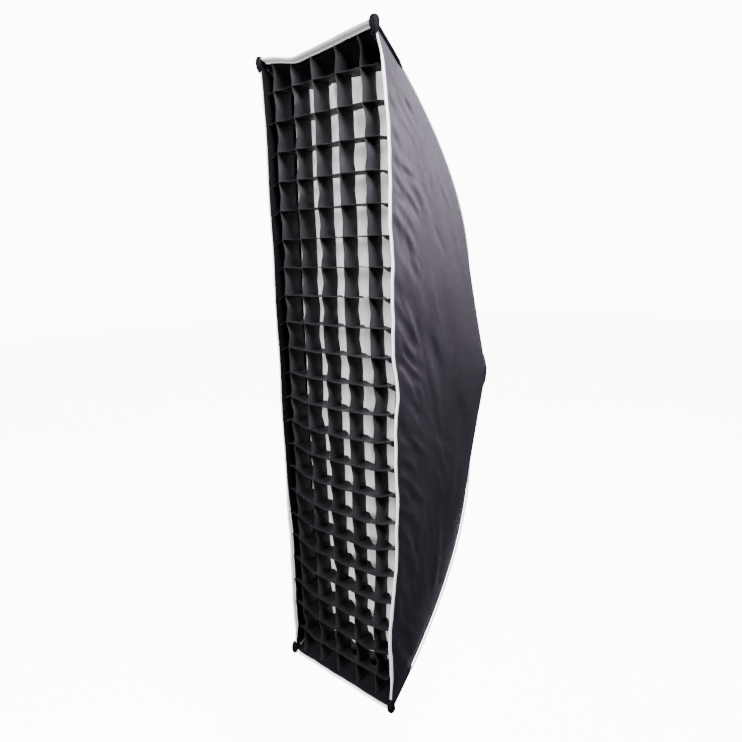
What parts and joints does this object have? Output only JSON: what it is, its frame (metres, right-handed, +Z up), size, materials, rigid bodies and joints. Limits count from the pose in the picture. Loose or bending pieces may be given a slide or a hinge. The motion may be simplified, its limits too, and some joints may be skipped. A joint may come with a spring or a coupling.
{
  "type": "strip softbox",
  "caption": "Tall narrow fabric softbox on a turning bayonet ring, with hinged rods, an inner baffle, a front diffuser and a removable egg-crate cloth grid.",
  "frame": {"origin": "centre of the bayonet mount's seat face, at the back of the softbox", "axes": "+Z up along the long side, +X to the right seen from the back of the mouth looking out of the page, the mouth faces -Y and the bayonet spigot points to +Y"},
  "size_m": [0.311, 0.405, 1.216],
  "materials": {
    "bayonet_steel": "satin turned metal",
    "black_metal": "satin black powder coat",
    "ring_grey": "cast and machined, satin",
    "spring_steel": "satin",
    "rod_steel": "satin drawn rod",
    "ferrule": "smooth black moulding",
    "button_red": "smooth red moulding",
    "black_nylon": "coated nylon with a soft sheen",
    "silver_lining": "metallised cloth, pebbled",
    "white_tape": "reflective woven tape",
    "piping_cord": "covered cord",
    "corner_webbing": "heavy black webbing",
    "diffusion_cloth": "thin white woven cloth",
    "elastic": "ribbed elastic",
    "hook_loop": "hook-and-loop tape",
    "grid_fabric": "soft black cloth strips"
  },
  "bodies": {
    "mount": {"bayonet_ring": "bayonet_steel", "retaining_plate": "black_metal", "retainer_screws": "spring_steel", "friction_washer": "spring_steel"},
    "speed_ring": {"speed_ring_plate": "ring_grey", "hinge_pins": "spring_steel", "ring_collar": "black_nylon", "panel_right": "black_nylon", "panel_left": "black_nylon", "panel_top": "black_nylon", "panel_bottom": "black_nylon", "lining_right": "silver_lining", "lining_left": "silver_lining", "lining_top": "silver_lining", "lining_bottom": "silver_lining", "binding_right": "white_tape", "binding_left": "white_tape", "binding_top": "white_tape", "binding_bottom": "white_tape", "piping_ur": "piping_cord", "piping_ul": "piping_cord", "piping_lr": "piping_cord", "piping_ll": "piping_cord", "corner_pocket_ur": "corner_webbing", "corner_pocket_ul": "corner_webbing", "corner_pocket_lr": "corner_webbing", "corner_pocket_ll": "corner_webbing", "inner_baffle": "diffusion_cloth", "baffle_straps": "elastic", "front_diffuser": "diffusion_cloth", "diffuser_fastener": "hook_loop", "grid_fastener": "hook_loop"},
    "arm_ur": {"rod_socket_ur": "black_metal", "rod_ur": "rod_steel", "rod_tip_ur": "ferrule"},
    "arm_ul": {"rod_socket_ul": "black_metal", "rod_ul": "rod_steel", "rod_tip_ul": "ferrule"},
    "arm_lr": {"rod_socket_lr": "black_metal", "rod_lr": "rod_steel", "rod_tip_lr": "ferrule"},
    "arm_ll": {"rod_socket_ll": "black_metal", "rod_ll": "rod_steel", "rod_tip_ll": "ferrule"},
    "button_ur": {"release_button_ur": "button_red"},
    "button_ul": {"release_button_ul": "button_red"},
    "button_lr": {"release_button_lr": "button_red"},
    "button_ll": {"release_button_ll": "button_red"},
    "grid": {"grid_border": "grid_fabric", "grid_uprights": "grid_fabric", "grid_crosspieces": "grid_fabric"}
  },
  "joints": [
    {"name": "ring_turn", "type": "hinge", "parent": "mount", "child": "speed_ring", "pos_m": [0, -0.008, 0], "axis": [0, 1, 0], "continuous": true},
    {"name": "fold_ur", "type": "hinge", "parent": "speed_ring", "child": "arm_ur", "pos_m": [0.01622, -0.02, 0.06809], "axis": [0.9728, 0, -0.2317], "range_deg": [0, 55], "deforming": ["panel_right", "panel_left", "panel_top", "panel_bottom", "lining_right", "lining_left", "lining_top", "lining_bottom", "binding_right", "binding_left", "binding_top", "binding_bottom", "piping_ur", "piping_ul", "piping_lr", "piping_ll", "corner_pocket_ur", "corner_pocket_ul", "corner_pocket_lr", "corner_pocket_ll", "inner_baffle", "baffle_straps", "front_diffuser", "diffuser_fastener", "grid_fastener", "grid_border", "grid_uprights", "grid_crosspieces"]},
    {"name": "fold_ul", "type": "hinge", "parent": "speed_ring", "child": "arm_ul", "pos_m": [-0.01622, -0.02, 0.06809], "axis": [0.9728, 0, 0.2317], "range_deg": [0, 55]},
    {"name": "fold_lr", "type": "hinge", "parent": "speed_ring", "child": "arm_lr", "pos_m": [0.01622, -0.02, -0.06809], "axis": [-0.9728, 0, -0.2317], "range_deg": [0, 55]},
    {"name": "fold_ll", "type": "hinge", "parent": "speed_ring", "child": "arm_ll", "pos_m": [-0.01622, -0.02, -0.06809], "axis": [-0.9728, 0, 0.2317], "range_deg": [0, 55]},
    {"name": "button_ur_press", "type": "slide", "parent": "speed_ring", "child": "button_ur", "axis": [-0.9728, 0, 0.2317], "range_m": [0, 0.0025], "stiffness_N_per_m": 800, "springref_m": -0.002},
    {"name": "button_ul_press", "type": "slide", "parent": "speed_ring", "child": "button_ul", "axis": [0.9728, 0, 0.2317], "range_m": [0, 0.0025], "stiffness_N_per_m": 800, "springref_m": -0.002},
    {"name": "button_lr_press", "type": "slide", "parent": "speed_ring", "child": "button_lr", "axis": [-0.9728, 0, -0.2317], "range_m": [0, 0.0025], "stiffness_N_per_m": 800, "springref_m": -0.002},
    {"name": "button_ll_press", "type": "slide", "parent": "speed_ring", "child": "button_ll", "axis": [0.9728, 0, -0.2317], "range_m": [0, 0.0025], "stiffness_N_per_m": 800, "springref_m": -0.002},
    {"name": "grid_pull", "type": "slide", "parent": "speed_ring", "child": "grid", "axis": [0, -1, 0], "range_m": [0, 0.35]}
  ],
  "couplings": [
    {"joint": "fold_ul", "follows": "fold_ur", "ratio": 1},
    {"joint": "fold_lr", "follows": "fold_ur", "ratio": 1},
    {"joint": "fold_ll", "follows": "fold_ur", "ratio": 1}
  ]
}
